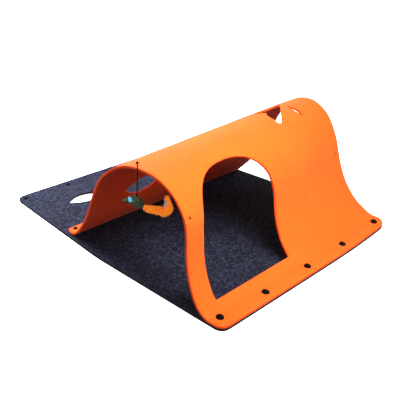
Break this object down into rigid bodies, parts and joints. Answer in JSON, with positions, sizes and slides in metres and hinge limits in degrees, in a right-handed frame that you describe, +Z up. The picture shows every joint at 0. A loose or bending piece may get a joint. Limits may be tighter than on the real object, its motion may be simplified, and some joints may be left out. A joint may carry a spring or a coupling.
{
  "type": "cat tunnel",
  "caption": "Felt cat tunnel: an arched orange felt cover with an arched door and peep holes, press-studded to a flat grey felt mat, with a small toy hung on a cord in one mouth.",
  "frame": {"origin": "on the floor, under the middle of the mat", "axes": "+X through the tunnel from the mouth with the toy to the other mouth, +Y from the front hem to the mat's back edge, +Z up"},
  "size_m": [0.6213, 0.692, 0.2596],
  "materials": {
    "orange_felt": "matte needled felt",
    "grey_felt": "matte heathered felt",
    "stud_plastic": "satin moulded",
    "cord_yarn": "braided",
    "green_felt": "matte felt",
    "eye_bead": "glossy",
    "tail_fluff": "fluffy yarn"
  },
  "bodies": {
    "root": {"base_mat": "grey_felt", "tunnel_cover": "orange_felt", "front_stud_1": "stud_plastic", "front_stud_2": "stud_plastic", "front_stud_3": "stud_plastic", "front_stud_4": "stud_plastic", "front_stud_5": "stud_plastic", "foot_stud_1": "stud_plastic", "foot_stud_2": "stud_plastic", "foot_stud_3": "stud_plastic", "foot_stud_4": "stud_plastic", "foot_stud_5": "stud_plastic", "back_stud_1": "stud_plastic", "back_stud_2": "stud_plastic", "back_stud_3": "stud_plastic", "back_stud_4": "stud_plastic", "back_stud_5": "stud_plastic", "toy_cord": "cord_yarn", "toy_head": "green_felt", "toy_eye_near": "eye_bead", "toy_eye_far": "eye_bead", "toy_tail": "tail_fluff"}
  },
  "joints": []
}
